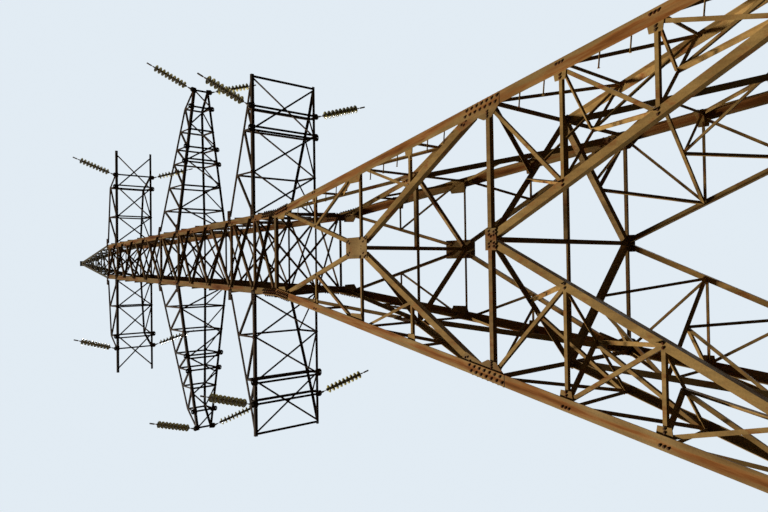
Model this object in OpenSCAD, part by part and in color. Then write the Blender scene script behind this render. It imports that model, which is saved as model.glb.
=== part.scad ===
/* [Tower body] */
// Height of the whole tower, from the ground to the top of the peak
tower_h = 37100; // [36600:50:38000]
// Width across the legs at ground level
base_w = 7150; // [6950:10:7350]
// Width across the legs at the waist
waist_w = 2370; // [2300:10:2450]
// Width across the legs at the top of the cage
cage_w = 1510; // [1450:10:1600]
// Width across the legs at the tip of the peak
peak_w = 130; // [110:5:200]
// Height of the waist, where the legs change their slope
waist_z = 16610; // [16500:10:16700]
// Height of the top of the cage, where the peak begins
cage_z = 31100; // [31000:10:31300]

/* [Legs] */
// Width of each flange of the leg angles below the waist
leg_w = 200; // [180:5:220]
// Thickness of the leg angles below the waist
leg_t = 20; // [16:1:24]
// Width of each flange of the leg angles of the cage
cage_leg_w = 180; // [160:5:200]
// Thickness of the leg angles of the cage
cage_leg_t = 16; // [14:1:18]
// Width of each flange of the leg angles of the peak
peak_leg_w = 90; // [80:5:110]
// Thickness of the leg angles of the peak
peak_leg_t = 9; // [8:1:12]

/* [Feet] */
// Width of each square base plate
foot_w = 560; // [520:10:640]
// Thickness of each base plate
foot_t = 36; // [30:1:45]
// Distance from the leg's heel in to the middle of its base plate
foot_inset = 80; // [60:5:100]
// Distance between the anchor holes of a base plate
anchor_pitch = 420; // [400:10:440]
// Diameter of the anchor holes
anchor_d = 42; // [36:1:48]
// Height of the stiffening plates on each foot
stiffener_h = 320; // [250:10:400]
// Thickness of the stiffening plates
stiffener_t = 16; // [12:1:20]

/* [Lower bracing] */
// Height of the main belt of horizontals
belt_z = 8120; // [8050:10:8200]
// Height of the middle of the upper face gussets
cross_z = 12400; // [12300:10:12500]
// Spacing of the horizontals below the belt
rung_pitch = 1575; // [1540:5:1610]
// Number of horizontals below the belt
rungs = 3; // [2:1:3]
// Height where a foot diagonal meets its leg
foot_joint_z = 1130; // [1050:10:1200]
// Height of the plates that join the foot diagonals to the legs
foot_gusset_h = 900; // [800:20:1000]
// Height of the belt's leg gussets above the belt
leg_gusset_h = 900; // [850:10:950]
// Depth of the belt's leg gussets below the belt
leg_gusset_drop = 300; // [250:10:350]
// Reach of the plates beside a leg, from the edge of its flange
tab_out = 150; // [140:5:160]
// Distance from a face's centre line to the upper end of a foot diagonal
diagonal_gap = 30; // [25:1:40]
// Width of the flanges of the main diagonals
main_w = 125; // [110:5:135]
// Thickness of the main diagonals
main_t = 10; // [8:1:12]
// Width of the flanges of the belt horizontals and the upper arms of the crosses
belt_w = 90; // [80:5:100]
// Thickness of the belt horizontals
belt_t = 8; // [7:1:10]
// Width of the flanges of the redundant members
redundant_w = 60; // [50:5:70]
// Thickness of the redundant members
redundant_t = 6; // [5:1:8]
// Thickness of the gusset plates
gusset_t = 12; // [10:1:14]
// Width of the upper face gussets
cross_gusset_w = 480; // [460:10:520]
// Height of the upper face gussets
cross_gusset_h = 880; // [840:10:920]
// Width of the belt's face gussets
belt_gusset_w = 370; // [350:10:400]
// Height of the belt's face gussets
belt_gusset_h = 265; // [250:5:280]
// Height of the horizontals beside the upper face gussets, below the gusset's middle
cross_rung_drop = 165; // [150:5:180]
// Height of the light horizontals between the upper face gussets and the waist
mid_rung_z = 14350; // [14250:10:14450]
// Length of the splice plates below and above the waist
splice_h = 700; // [600:20:760]
// Width of the splice plates
splice_w = 160; // [140:5:170]
// Thickness of the splice plates
splice_t = 12; // [10:1:14]

/* [Cage bracing] */
// Width of the flanges of the cage diagonals
cage_bar_w = 70; // [60:5:75]
// Thickness of the cage diagonals
cage_bar_t = 7; // [6:1:8]
// Height of the strut above the waist
waist_strut_up = 60; // [55:5:90]
// Height of each panel of a run as a share of the one below it
panel_shrink = 0.87; // [0.8:0.01:0.95]
// Diameter of the packing washers where two diagonals cross
packing_d = 60; // [50:5:70]
// Number of panels of the peak
peak_panels = 6; // [5:1:6]
// Width of the flanges of the peak's bars
peak_bar_w = 45; // [40:1:50]
// Thickness of the peak's bars
peak_bar_t = 5; // [4:1:6]
// Thickness of the plate that caps the peak
cap_t = 14; // [12:1:18]
// Height of the lug for the earth wire above the cap
lug_h = 130; // [110:5:150]
// Diameter of the hole in the earth-wire lug
lug_hole_d = 26; // [22:1:30]

/* [Crossarms] */
// Height of the lower chords of the bottom arms
arm1_z = 17880; // [17840:10:17920]
// Height of the bottom arms at the cage
arm1_h = 1450; // [1420:10:1480]
// Reach of the bottom arms from the tower's axis
arm1_reach = 5340; // [5300:10:5400]
// Height of the lower chords of the middle arms
arm2_z = 23380; // [23340:10:23420]
// Height of the middle arms at the cage
arm2_h = 1620; // [1590:10:1650]
// Reach of the middle arms from the tower's axis
arm2_reach = 6230; // [6180:10:6280]
// Half of the middle arms' depth at the tip
arm2_tip_d = 300; // [280:5:330]
// Height of the lower chords of the top arms
arm3_z = 29900; // [29870:10:29930]
// Reach of the top arms from the tower's axis
arm3_reach = 4830; // [4790:10:4870]
// Width of the flanges of the arm chords
chord_w = 90; // [80:5:100]
// Thickness of the arm chords
chord_t = 9; // [8:1:10]
// Width of the flanges of the arms' web and plan members
web_w = 55; // [50:5:60]
// Thickness of the arms' web and plan members
web_t = 6; // [5:1:7]
// Width of the hanger plates under the chords
hanger_w = 230; // [210:10:250]
// Thickness of the hanger plates
hanger_t = 20; // [16:1:24]
// Distance of a hanger's hole outside its chord
hanger_out = 80; // [70:5:90]
// Diameter of the hanger holes
hanger_hole_d = 26; // [24:1:30]

/* [Strings] */
// Number of discs in each insulator string
discs = 9; // [8:1:10]
// Spacing of the discs
disc_pitch = 146; // [140:1:150]
// Diameter of the discs
disc_d = 255; // [240:5:265]
// Diameter of the metal cap of each disc
disc_cap_d = 96; // [90:2:104]
// Diameter of the pins between the discs
link_d = 22; // [18:1:24]
// Distance from the hanger's hole to the first disc
string_lead = 220; // [200:10:240]
// Length of the clamp that grips the conductor
clamp_len = 330; // [300:10:360]
// Diameter of the conductor's socket in the clamp
conductor_d = 28; // [24:1:32]
// Angle that the line turns to each side of the tower, in degrees
line_angle = 17; // [14:1:20]
// Slope of the strings below the horizontal, in degrees
string_slope = 9; // [6:1:12]
// Gap between a string's fork and its hanger plate
fork_fit = 1; // [0.5:0.5:2]

/* [Hidden] */

// Stages of the tower: 0 from the ground to the waist, 1 the cage, 2 the peak
stage_z = [0, waist_z, cage_z];
stage_w = [base_w / 2, waist_w / 2, cage_w / 2];
peak_top = tower_h - lug_h - cap_t;
batter = [
    (base_w - waist_w) / 2 / waist_z,
    (waist_w - cage_w) / 2 / (cage_z - waist_z),
    (cage_w - peak_w) / 2 / (peak_top - cage_z)
];
function stage_of(z) = z < waist_z ? 0 : z < cage_z ? 1 : 2;
function half(z) = let(s = stage_of(z)) stage_w[s] - (z - stage_z[s]) * batter[s];
// A point given as distance from the centre line and height, in the sloping face of a stage
function up(p, s) = [p[0], (p[1] - stage_z[s]) * sqrt(1 + batter[s] * batter[s])];
function mix(a, b, f) = a + (b - a) * f;

// Depths behind the outer plane of a face below the waist: gussets lie on the legs, bars on the gussets
gusset_n = leg_t;
bar_n = leg_t + gusset_t;
leg_gauge = leg_w / 2;
cage_gauge = cage_leg_w / 2;
trim = 2;
far = 20000;

// Puts its children in the sloping plane of one face: X across, Z up the slope, Y inwards
module face(k, s) {
    rotate([0, 0, 90 * k]) translate([0, -stage_w[s], stage_z[s]]) rotate([-atan(batter[s]), 0, 0]) children();
}

// The same half of the two faces that meet at the front right corner
module at_corner(s) {
    face(0, s) children();
    face(1, s) mirror([1, 0, 0]) children();
}

// An angle section from point a to point b of a plane, its flat flange at depth n
module angle_bar(a, b, w, t, n, edge = -1) {
    run = b - a;
    translate([a[0], n, a[1]]) rotate([0, -atan2(run[1], run[0]), 0]) rotate([90, 0, 90])
        linear_extrude(norm(run)) scale([1, edge])
            polygon([[0, -w / 2], [t, -w / 2], [t, w / 2 - t], [w, w / 2 - t], [w, w / 2], [0, w / 2]]);
}

// An angle bar of a face, between points given as distance and height
module face_bar(a, b, s, w, t, n, edge = -1) {
    angle_bar(up(a, s), up(b, s), w, t, n, edge);
}

// A flat plate of a face, from its corner points
module face_plate(points, s, t, n) {
    translate([0, n + t, 0]) rotate([90, 0, 0]) linear_extrude(t) polygon([for (p = points) up(p, s)]);
}

// A level angle bar between two points in plan, its flat flange underneath
module level_bar(a, b, z, w, t, edge = 1, rise = 1) {
    run = b - a;
    translate([a[0], a[1], z]) rotate([0, 0, atan2(run[1], run[0])]) rotate([90, 0, 90])
        linear_extrude(norm(run)) scale([edge, rise])
            polygon([[-w / 2, 0], [w / 2, 0], [w / 2, w], [w / 2 - t, w], [w / 2 - t, t], [-w / 2, t]]);
}

// An angle bar between any two points in space, its flat flange underneath
module space_bar(a, b, w, t, edge = 1) {
    run = b - a;
    flat = norm([run[0], run[1]]);
    translate(a) rotate([0, 0, atan2(run[1], run[0])]) rotate([0, -atan2(run[2], flat), 0]) rotate([90, 0, 90])
        linear_extrude(norm(run)) scale([edge, 1])
            polygon([[-w / 2, 0], [w / 2, 0], [w / 2, w], [w / 2 - t, w], [w / 2 - t, t], [-w / 2, t]]);
}

// One flange of a leg, in a face
module leg_flange(s, low, high, w, t) {
    edge = stage_w[s] - (low - stage_z[s]) * batter[s];
    top = stage_w[s] - (high - stage_z[s]) * batter[s];
    face_plate([[edge, low], [top, high], [top - w, high], [edge - w, low]], s, t, 0);
}

// Cuts its children off level at two heights
module between(low, high) {
    intersection() {
        children();
        translate([-far, -far, low]) cube([2 * far, 2 * far, high - low]);
    }
}

// Splice plate on the outside of a leg's flange
module splice(s, low, high) {
    face_plate([[half(low) - trim * 4, low], [half(high) - trim * 4, high],
                [half(high) - splice_w, high], [half(low) - splice_w, low]], s, splice_t + trim, -splice_t);
}

// Leg below the waist with its base plate
module leg() {
    plate_c = base_w / 2 - foot_inset;
    between(0, waist_z) union() {
        at_corner(0) leg_flange(0, foot_t / 2, waist_z + leg_w, leg_w, leg_t);
        at_corner(0) splice(0, waist_z - splice_h, waist_z - 1);
        difference() {
            translate([plate_c - foot_w / 2, -plate_c - foot_w / 2, 0]) cube([foot_w, foot_w, foot_t]);
            for (x = [-1, 1], y = [-1, 1])
                translate([plate_c + x * anchor_pitch / 2, -plate_c + y * anchor_pitch / 2, -1])
                    cylinder(h = foot_t + 2, d = anchor_d, $fn = 32);
        }
        at_corner(0) translate([stage_w[0] - leg_gauge - stiffener_t, 0, 0]) rotate([90, 0, 90])
            linear_extrude(stiffener_t)
                polygon([[1, foot_t / 2], [-foot_w / 2 + foot_inset + 10, foot_t / 2],
                         [-foot_w / 2 + foot_inset + 10, foot_t + 40], [-20, stiffener_h], [1, stiffener_h]]);
    }
}

module leg_front_right() { color("peru") leg(); }
module leg_back_right() { color("peru") rotate([0, 0, 90]) leg(); }
module leg_back_left() { color("peru") rotate([0, 0, 180]) leg(); }
module leg_front_left() { color("peru") rotate([0, 0, 270]) leg(); }

// Line of a foot diagonal in its face
diagonal_foot = half(foot_joint_z) - leg_gauge;
function diagonal(z) = mix(diagonal_gap, diagonal_foot, (belt_z - z) / (belt_z - foot_joint_z));
function rung_z(i) = belt_z - i * rung_pitch;
function gauge(z) = half(z) - leg_gauge;

// A small tab on the inside of a leg, where light bars are bolted to it
module leg_tab(z, h) {
    inner = leg_w + tab_out * 0.75;
    face_plate([[half(z + h / 2) - bar_n - trim, z + h / 2], [half(z) - inner, z + h / 3],
                [half(z) - inner, z - h / 3], [half(z - h / 2) - bar_n - trim, z - h / 2]], 0, gusset_t, gusset_n);
}

// Half of a face from the belt down to the foot
module foot_half_face() {
    top = belt_z - belt_w / 2 - main_w / 4;
    face_bar([diagonal(top), top], [diagonal(foot_joint_z), foot_joint_z], 0, main_w, main_t, bar_n);
    for (i = [1:rungs]) {
        z = rung_z(i);
        face_bar([diagonal(z), z], [gauge(z) + redundant_w / 2, z], 0, redundant_w, redundant_t, bar_n);
        leg_tab(z, 300);
    }
    for (i = [1:rungs]) {
        start = rung_z(i - 1) - redundant_w * 1.3;
        face_bar([gauge(start) - leg_gauge, start], [diagonal(rung_z(i)), rung_z(i)],
                 0, redundant_w, redundant_t, bar_n, 1);
    }
    high = foot_joint_z + foot_gusset_h;
    face_plate([[half(foot_joint_z) - bar_n - trim, foot_joint_z - tab_out], [half(high) - bar_n - trim, high],
                [half(high) - leg_w - tab_out, high],
                [half(foot_joint_z) - leg_w - tab_out, foot_joint_z + tab_out]], 0, gusset_t, gusset_n);
}

// Level bars across a corner between the diagonals of its two faces, with their ties
module hip_frames() {
    seat = bar_n + main_t / 2;
    for (i = [1:rungs]) {
        z = rung_z(i);
        deep = half(z) - seat;
        front = [diagonal(z), -deep];
        side = [deep, -diagonal(z)];
        middle = (front + side) / 2;
        heel = half(z) - bar_n - redundant_w * 0.35 + trim;
        level_bar(front, side, z, redundant_w, redundant_t);
        level_bar(middle, [heel, -heel], z, redundant_w, redundant_t);
        if (i < rungs) {
            below = rung_z(i + 1);
            deep_below = half(below) - seat;
            for (p = [[diagonal(below), -deep_below, below], [deep_below, -diagonal(below), below]])
                space_bar([middle[0], middle[1], z], p, redundant_w, redundant_t);
        }
    }
}

// Struts from the belt's plan ties down to the first horizontals of the two faces
module belt_struts() {
    z = rung_z(1);
    deep = half(z) - bar_n - main_t / 2;
    seat = belt_z - belt_w / 2 - fork_fit / 2;
    middle = (half(belt_z) - bar_n) / 2;
    for (m = [-1, 1]) {
        head = [middle + m * main_w * 0.7, -middle + m * main_w * 0.7, seat];
        foot = m < 0 ? [diagonal(z), -deep, z] : [deep, -diagonal(z), z];
        between(0, seat) space_bar(mix(foot, head, 1.05), foot, redundant_w, redundant_t);
    }
}

module foot_bracing() {
    at_corner(0) foot_half_face();
    hip_frames();
    belt_struts();
}

module foot_bracing_front_right() { color("burlywood") foot_bracing(); }
module foot_bracing_back_right() { color("burlywood") rotate([0, 0, 90]) foot_bracing(); }
module foot_bracing_back_left() { color("burlywood") rotate([0, 0, 180]) foot_bracing(); }
module foot_bracing_front_left() { color("burlywood") rotate([0, 0, 270]) foot_bracing(); }

// Half of a face between the waist and the belt: one arm of the cross up, one heavy arm down
cross_top = [cross_gusset_w / 4, cross_z + cross_gusset_h * 0.3];
cross_low = [cross_gusset_w * 0.3, cross_z - cross_gusset_h * 0.3];
cross_head_z = waist_z - 2 * leg_w;
cross_foot_z = belt_z + 420;
function on_line(a, b, z) = [mix(a[0], b[0], (z - a[1]) / (b[1] - a[1])), z];

module waist_half_face() {
    head = [gauge(cross_head_z), cross_head_z];
    foot = [gauge(cross_foot_z) - 60, cross_foot_z];
    face_bar(cross_top, head, 0, belt_w, belt_t, bar_n);
    face_bar(cross_low, foot, 0, main_w, main_t, bar_n);
    z1 = mid_rung_z;
    on1 = on_line(cross_top, head, z1);
    face_bar(on1, [gauge(z1) + redundant_w / 2, z1], 0, redundant_w, redundant_t, bar_n);
    leg_tab(z1, 260);
    z2 = cross_z + 160;
    face_bar(on1, [gauge(z2), z2], 0, redundant_w, redundant_t, bar_n);
    leg_tab(z2 - 120, 620);
    z3 = mix(cross_low[1], foot[1], 0.49);
    on3 = on_line(cross_low, foot, z3);
    z4 = cross_z - cross_rung_drop - 170;
    face_bar([gauge(z4), z4], on3, 0, redundant_w, redundant_t, bar_n);
    face_bar(on3, [gauge(z3) + redundant_w / 2, z3], 0, redundant_w, redundant_t, bar_n);
    leg_tab(z3, 300);
    face_plate([[half(waist_z - 40) - bar_n - trim, waist_z - 40], [gauge(waist_z) - 140, waist_z - 120],
                [gauge(waist_z) - 160, waist_z - 480], [half(waist_z - 740) - bar_n - trim, waist_z - 740]],
               0, gusset_t, gusset_n);
}

module waist_bracing() { at_corner(0) waist_half_face(); }

module waist_bracing_front_right() { color("tan") waist_bracing(); }
module waist_bracing_back_right() { color("tan") rotate([0, 0, 90]) waist_bracing(); }
module waist_bracing_back_left() { color("tan") rotate([0, 0, 180]) waist_bracing(); }
module waist_bracing_front_left() { color("tan") rotate([0, 0, 270]) waist_bracing(); }

// Ties in plan at one height: a cross between opposite gussets and a diamond between neighbours
module plan_ties(z, drop, w, t) {
    reach = half(z) - bar_n + trim / 2;
    for (k = [0:3]) rotate([0, 0, 90 * k]) {
        level_bar([0, -reach], [0, 0], z - drop, belt_w, belt_t);
        level_bar([0, -reach], [reach, 0], z - drop, w, t);
    }
}

// Belt of horizontals with its face gussets, leg gussets and plan ties
module belt_frame() {
    gusset_top = belt_z + leg_gusset_h;
    gusset_low = belt_z - leg_gusset_drop;
    // Edge of a leg gusset from top to bottom: the heavy arm's lobe, the neck and the belt's lobe
    lobes = [[leg_gusset_h * 0.71, tab_out], [leg_gusset_h * 0.27, tab_out * 0.4], [belt_w, tab_out],
             [-belt_w * 1.2, tab_out], [-leg_gusset_drop, -gusset_t]];
    color("tan") {
        for (k = [0:3]) face(k, 0) {
            face_bar([-gauge(belt_z) - belt_w / 2, belt_z], [gauge(belt_z) + belt_w / 2, belt_z],
                     0, belt_w, belt_t, bar_n);
            face_plate([for (x = [-1, 1], y = [-x, x])
                        [x * belt_gusset_w / 2, belt_z - belt_gusset_h * 0.13 + y * belt_gusset_h / 2]],
                       0, gusset_t, gusset_n);
            for (m = [0, 1]) mirror([m, 0, 0])
                face_plate([[half(gusset_top) - bar_n - trim, gusset_top],
                            for (p = lobes) [half(belt_z + p[0]) - leg_w - p[1], belt_z + p[0]],
                            [half(gusset_low) - bar_n - trim, gusset_low]], 0, gusset_t, gusset_n);
        }
        plan_ties(belt_z, belt_w / 2, main_w, main_t);
        middle = (half(belt_z) - bar_n) / 2;
        heel = half(belt_z) - bar_n - redundant_w * 0.35 + trim;
        for (k = [0:3]) rotate([0, 0, 90 * k])
            level_bar([middle, -middle], [heel, -heel], belt_z - belt_w / 2 + trim, redundant_w, redundant_t, 1, -1);
    }
}

// Upper face gussets with their horizontals and plan ties
module cross_frame() {
    rung = cross_z - cross_rung_drop;
    color("tan") {
        for (k = [0:3]) face(k, 0) {
            face_plate([for (x = [-1, 1], y = [-x, x])
                        [x * cross_gusset_w / 2, cross_z + y * cross_gusset_h / 2]], 0, gusset_t, gusset_n);
            for (m = [0, 1]) mirror([m, 0, 0])
                face_bar([cross_gusset_w / 2 - 60, rung], [gauge(rung) + redundant_w / 2, rung],
                         0, redundant_w, redundant_t, bar_n);
        }
        plan_ties(rung, belt_w / 2, belt_w, belt_t);
    }
}

// Leg of the cage, from the waist to the peak
module cage_leg() {
    between(waist_z, cage_z) at_corner(1) {
        leg_flange(1, waist_z - cage_leg_w, cage_z + cage_leg_w, cage_leg_w, cage_leg_t);
        splice(1, waist_z + 1, waist_z + splice_h);
    }
}

module cage_leg_front_right() { color("peru") cage_leg(); }
module cage_leg_back_right() { color("peru") rotate([0, 0, 90]) cage_leg(); }
module cage_leg_back_left() { color("peru") rotate([0, 0, 180]) cage_leg(); }
module cage_leg_front_left() { color("peru") rotate([0, 0, 270]) cage_leg(); }

// Panel heights of the cage: runs between the arms share out their height by the shrink ratio
function run_z(low, high, n) =
    let(unit = (high - low) * (1 - panel_shrink) / (1 - pow(panel_shrink, n)))
    [for (i = [0:n - 1]) low + unit * (1 - pow(panel_shrink, i)) / (1 - panel_shrink)];
arm3_root = cage_z - 60;
panel_z = concat(
    [waist_z + waist_strut_up, arm1_z],
    run_z(arm1_z + arm1_h, arm2_z, 3),
    [arm2_z],
    run_z(arm2_z + arm2_h, arm3_z, 4),
    [arm3_z, arm3_root]
);
belt_levels = [waist_z + waist_strut_up, arm1_z, arm1_z + arm1_h, arm2_z, arm2_z + arm2_h, arm3_z, arm3_root];

// One face of the cage: a cross of two angles in each panel, one on each side of the leg flanges
module cage_face() {
    n = len(panel_z);
    edge_gap = cage_bar_w * 1.7;
    outer_reach = cage_gauge + 8;
    inner_reach = cage_leg_t + cage_bar_w * 1.5 + trim;
    for (i = [0:n - 2]) {
        low = panel_z[i] + edge_gap;
        high = panel_z[i + 1] - edge_gap;
        a = [-(half(low) - inner_reach), low];
        b = [half(high) - inner_reach, high];
        c = [half(low) - outer_reach, low];
        d = [-(half(high) - outer_reach), high];
        face_bar(a, b, 1, cage_bar_w, cage_bar_t, cage_leg_t);
        mirror([0, 1, 0]) face_bar(c, d, 1, cage_bar_w, cage_bar_t, 0);
        ab = (b[1] - a[1]) / (b[0] - a[0]);
        cd = (d[1] - c[1]) / (d[0] - c[0]);
        x = (c[1] - a[1] + ab * a[0] - cd * c[0]) / (ab - cd);
        z = a[1] + ab * (x - a[0]);
        place = up([x, z], 1);
        translate([place[0], cage_leg_t, place[1]]) rotate([90, 0, 0])
            cylinder(h = cage_leg_t, d = packing_d, $fn = 8);
    }
}

module cage_bracing_front() { color("burlywood") face(0, 1) cage_face(); }
module cage_bracing_right() { color("burlywood") face(1, 1) cage_face(); }
module cage_bracing_back() { color("burlywood") face(2, 1) cage_face(); }
module cage_bracing_left() { color("burlywood") face(3, 1) cage_face(); }

// Level frames of the cage: four struts and two crossed ties at the waist and at each chord of the arms
module cage_frames() {
    color("tan") for (z = belt_levels) {
        strut = z == belt_levels[0] ? belt_w : cage_bar_w;
        end = half(z) - cage_leg_t - trim;
        for (k = [0:3]) face(k, 1)
            face_bar([-end, z], [end, z], 1, strut, cage_bar_t, cage_leg_t);
        tie = half(z) - cage_leg_t - cage_bar_w * 0.8;
        for (m = [-1, 1])
            level_bar([-tie, -m * tie], [tie, m * tie], z - strut / 2 + 1, cage_bar_w, cage_bar_t);
    }
}

// Peak: four light legs, crossed panels, a cap plate and the lug for the earth wire
module peak() {
    color("darkkhaki") {
        between(cage_z, peak_top) for (k = [0:3]) rotate([0, 0, 90 * k])
            at_corner(2) leg_flange(2, cage_z - 100, peak_top + 100, peak_leg_w, peak_leg_t);
        unit = (peak_top - cage_z) * (1 - panel_shrink) / (1 - pow(panel_shrink, peak_panels));
        levels = [for (i = [0:peak_panels]) cage_z + unit * (1 - pow(panel_shrink, i)) / (1 - panel_shrink)];
        bars = [for (i = [0:peak_panels - 2])
            let(low = levels[i] + peak_bar_w, high = levels[i + 1],
                a = half(low) - peak_leg_w / 2, b = half(high) - peak_leg_w / 2)
            each [[[-a, low], [b, high]], [[a, low], [-b, high]], [[-b, high + 10], [b, high + 10]]]];
        for (k = [0:3]) face(k, 2) {
            sheet(peak_leg_t, peak_bar_t)
                for (b = bars) strip(up(b[0], 2), up(b[1], 2), -peak_bar_w / 2, peak_bar_w / 2);
            sheet(peak_leg_t + peak_bar_t, peak_bar_w - peak_bar_t)
                for (b = bars) strip(up(b[0], 2), up(b[1], 2), -peak_bar_w / 2, peak_bar_t - peak_bar_w / 2);
        }
        translate([-peak_w, -peak_w, peak_top]) cube([2 * peak_w, 2 * peak_w, cap_t]);
        difference() {
            translate([-peak_w / 2, -cap_t / 2, peak_top]) cube([peak_w, cap_t, lug_h + cap_t]);
            translate([0, cap_t, peak_top + cap_t + lug_h / 2]) rotate([90, 0, 0])
                cylinder(h = cap_t * 2, d = lug_hole_d, $fn = 32);
        }
    }
}

// Puts its children in the near side plane of an arm: X outwards from the cage's corner, Z up
module arm_side(z, sweep) {
    root = half(z);
    translate([root, -root, z]) rotate([0, 0, sweep]) rotate([-atan(batter[1]), 0, 0]) children();
}

// A strip in a plane along the line from a to b, between two offsets to its left
module strip(a, b, low, high) {
    run = b - a;
    translate(a) rotate(atan2(run[1], run[0])) translate([0, low]) square([norm(run), high - low]);
}

// Extrudes a plane outline of a side truss from depth n inwards
module sheet(n, t) {
    translate([0, n + t, 0]) rotate([90, 0, 0]) linear_extrude(t) children();
}

// One side truss of an arm: chords with their flanges inwards, posts and diagonals on the chords' inside
module side_truss(root_h, posts, bend, drop, length) {
    gap = 4;
    heel = chord_w * 0.45;
    top_w = web_w * 1.2;
    root_top = [gap + root_h * batter[1], root_h];
    drop_end = [drop, heel];
    function top_h(x) = x <= bend[0] ? mix(root_h, bend[1], x / bend[0])
        : mix(bend[1], 0, (x - bend[0]) / (drop - bend[0]));
    angle_bar([gap, chord_w / 2], [length, chord_w / 2], chord_w, chord_t, 0);
    sheet(0, web_t) {
        strip(root_top, bend, -top_w / 2, top_w / 2);
        strip(bend, drop_end, -top_w / 2, top_w / 2);
    }
    sheet(web_t, top_w - web_t) {
        strip(root_top, bend, top_w / 2 - web_t, top_w / 2);
        strip(bend, drop_end, top_w / 2 - web_t, top_w / 2);
    }
    inner = [for (x = concat([gap + web_w], posts)) [x, heel]];
    heads = [for (x = posts) [x, top_h(x) - web_w * 0.3]];
    webs = [for (i = [0:len(posts) - 1], a = [inner[i], inner[i + 1]]) [a, heads[i]]];
    sheet(web_t, chord_t) for (b = webs) strip(b[0], b[1], -web_w / 2, web_w / 2);
    sheet(web_t + chord_t, web_w - web_t) for (b = webs) strip(b[0], b[1], -web_w / 2, web_t - web_w / 2);
    // Root plates on the face of the cage leg
    for (h = [0, root_h]) translate([-cage_gauge * 0.9, -gusset_t, h - 60]) cube([cage_gauge * 0.9 + 240, gusset_t, 200]);
}

// Puts its children at the outer lower edge of a near side chord: X along the chord, Z upright
module chord_side(z, sweep) {
    translate([half(z), -half(z), z]) rotate([0, 0, sweep]) children();
}

hanger_low = -hanger_t + 6;
hanger_edge = 45;

// A level plate under a lower chord, reaching out to the hole where loads hang
module hanger_plate(x, w) {
    out = hanger_out + hanger_edge;
    difference() {
        translate([x, 0, hanger_low]) linear_extrude(hanger_t)
            polygon([[-w / 2, chord_w + 10], [-w / 2, -out * 0.6], [-w / 4, -out],
                     [w / 4, -out], [w / 2, -out * 0.6], [w / 2, chord_w + 10]]);
        translate([x, -hanger_out, hanger_low - 1]) cylinder(h = hanger_t + 2, d = hanger_hole_d, $fn = 32);
    }
}

// Plan bracing of an arm: level angles between points in plan, their flanges down
module plan_web(bars, z) {
    bite = 2;
    translate([0, 0, z - web_t + bite]) linear_extrude(web_t)
        for (b = bars) strip(b[0], b[1], -web_w / 2, web_w / 2);
    translate([0, 0, z - web_w + bite]) linear_extrude(web_w - web_t)
        for (b = bars) strip(b[0], b[1], -web_w / 2, web_t - web_w / 2);
}

// Struts between the two upper chords, one at each post
module head_struts(z, root, root_h, posts, bend, taper) {
    for (x = posts) {
        h = mix(root_h, bend[1], x / bend[0]) - web_w;
        d = root - x * taper - h * batter[1] - web_t - chord_t / 2;
        level_bar([root + x, -d], [root + x, d], z + h, web_w, web_t);
    }
}

// Bottom arm of one side: a box arm of constant depth. Stations are shares of the arm's reach
arm1_stations = [0.456, 0.698, 0.813];
arm1_hang = 0.822;
module arm_bottom() {
    root = half(arm1_z);
    posts = arm1_stations * arm1_reach - [root, root, root];
    bend = [posts[2], arm1_h * 0.21];
    drop = arm1_reach * 0.972 - root;
    for (m = [0, 1]) mirror([0, m, 0]) {
        arm_side(arm1_z, 0) side_truss(arm1_h, posts, bend, drop, arm1_reach - root);
        chord_side(arm1_z, 0) {
            hanger_plate(posts[1], hanger_w);
            hanger_plate(arm1_reach * arm1_hang - root, hanger_w * 0.8);
        }
    }
    deep = root - chord_w / 2;
    xs = [60, posts[0], posts[1], drop + 30];
    crosses = [for (i = [0:2], m = [-1, 1]) [[root + xs[i], -m * deep], [root + xs[i + 1], m * deep]]];
    ties = [for (x = [posts[1] - web_w, posts[1] + web_w, posts[2] - web_w, posts[2] + web_w, drop + 70])
        [[root + x, -deep], [root + x, deep]]];
    plan_web(concat(crosses, ties), arm1_z);
    head_struts(arm1_z, root, arm1_h, posts, bend, 0);
}

module arm_bottom_right() { color("sienna") arm_bottom(); }
module arm_bottom_left() { color("sienna") mirror([1, 0, 0]) arm_bottom(); }

// Middle arm of one side, tapering in plan to its tip
arm2_stations = [0.287, 0.4255, 0.565, 0.653, 0.758, 0.893];
arm2_hang = 0.992;
arm2_root = half(arm2_z);
arm2_taper = (arm2_root - arm2_tip_d) / (arm2_reach - arm2_root);
arm2_stretch = sqrt(1 + arm2_taper * arm2_taper);
module arm_middle() {
    root = arm2_root;
    reach = arm2_reach - root;
    stations = [for (s = arm2_stations) s * arm2_reach - root];
    bend = [stations[5], arm2_h * 0.39];
    length = reach * arm2_stretch;
    for (m = [0, 1]) mirror([0, m, 0]) {
        arm_side(arm2_z, atan(arm2_taper))
            side_truss(arm2_h, stations * arm2_stretch, [bend[0] * arm2_stretch, bend[1]], length - 40, length);
        chord_side(arm2_z, atan(arm2_taper)) {
            for (i = [2, 3, 5]) hanger_plate(stations[i] * arm2_stretch, hanger_w * 0.8);
            hanger_plate((arm2_reach * arm2_hang - root) * arm2_stretch, hanger_w * 0.8);
        }
    }
    function deep(x) = root - x * arm2_taper - chord_w / 2;
    zig = [60, stations[0] + 40, stations[1] + 120, stations[2] + 60, stations[3] + 160, stations[4] + 200,
           stations[5] + 100, reach - 60];
    zigzag = [for (i = [0:6]) let(m = i % 2 == 0 ? 1 : -1)
        [[root + zig[i], m * deep(zig[i])], [root + zig[i + 1], -m * deep(zig[i + 1])]]];
    ties = [for (x = concat(stations, [stations[2] + 2 * web_w, reach - 60]))
        [[root + x, -deep(x)], [root + x, deep(x)]]];
    plan_web(concat(zigzag, ties), arm2_z);
    head_struts(arm2_z, root, arm2_h, stations, bend, arm2_taper);
}

module arm_middle_right() { color("sienna") arm_middle(); }
module arm_middle_left() { color("sienna") mirror([1, 0, 0]) arm_middle(); }

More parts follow.
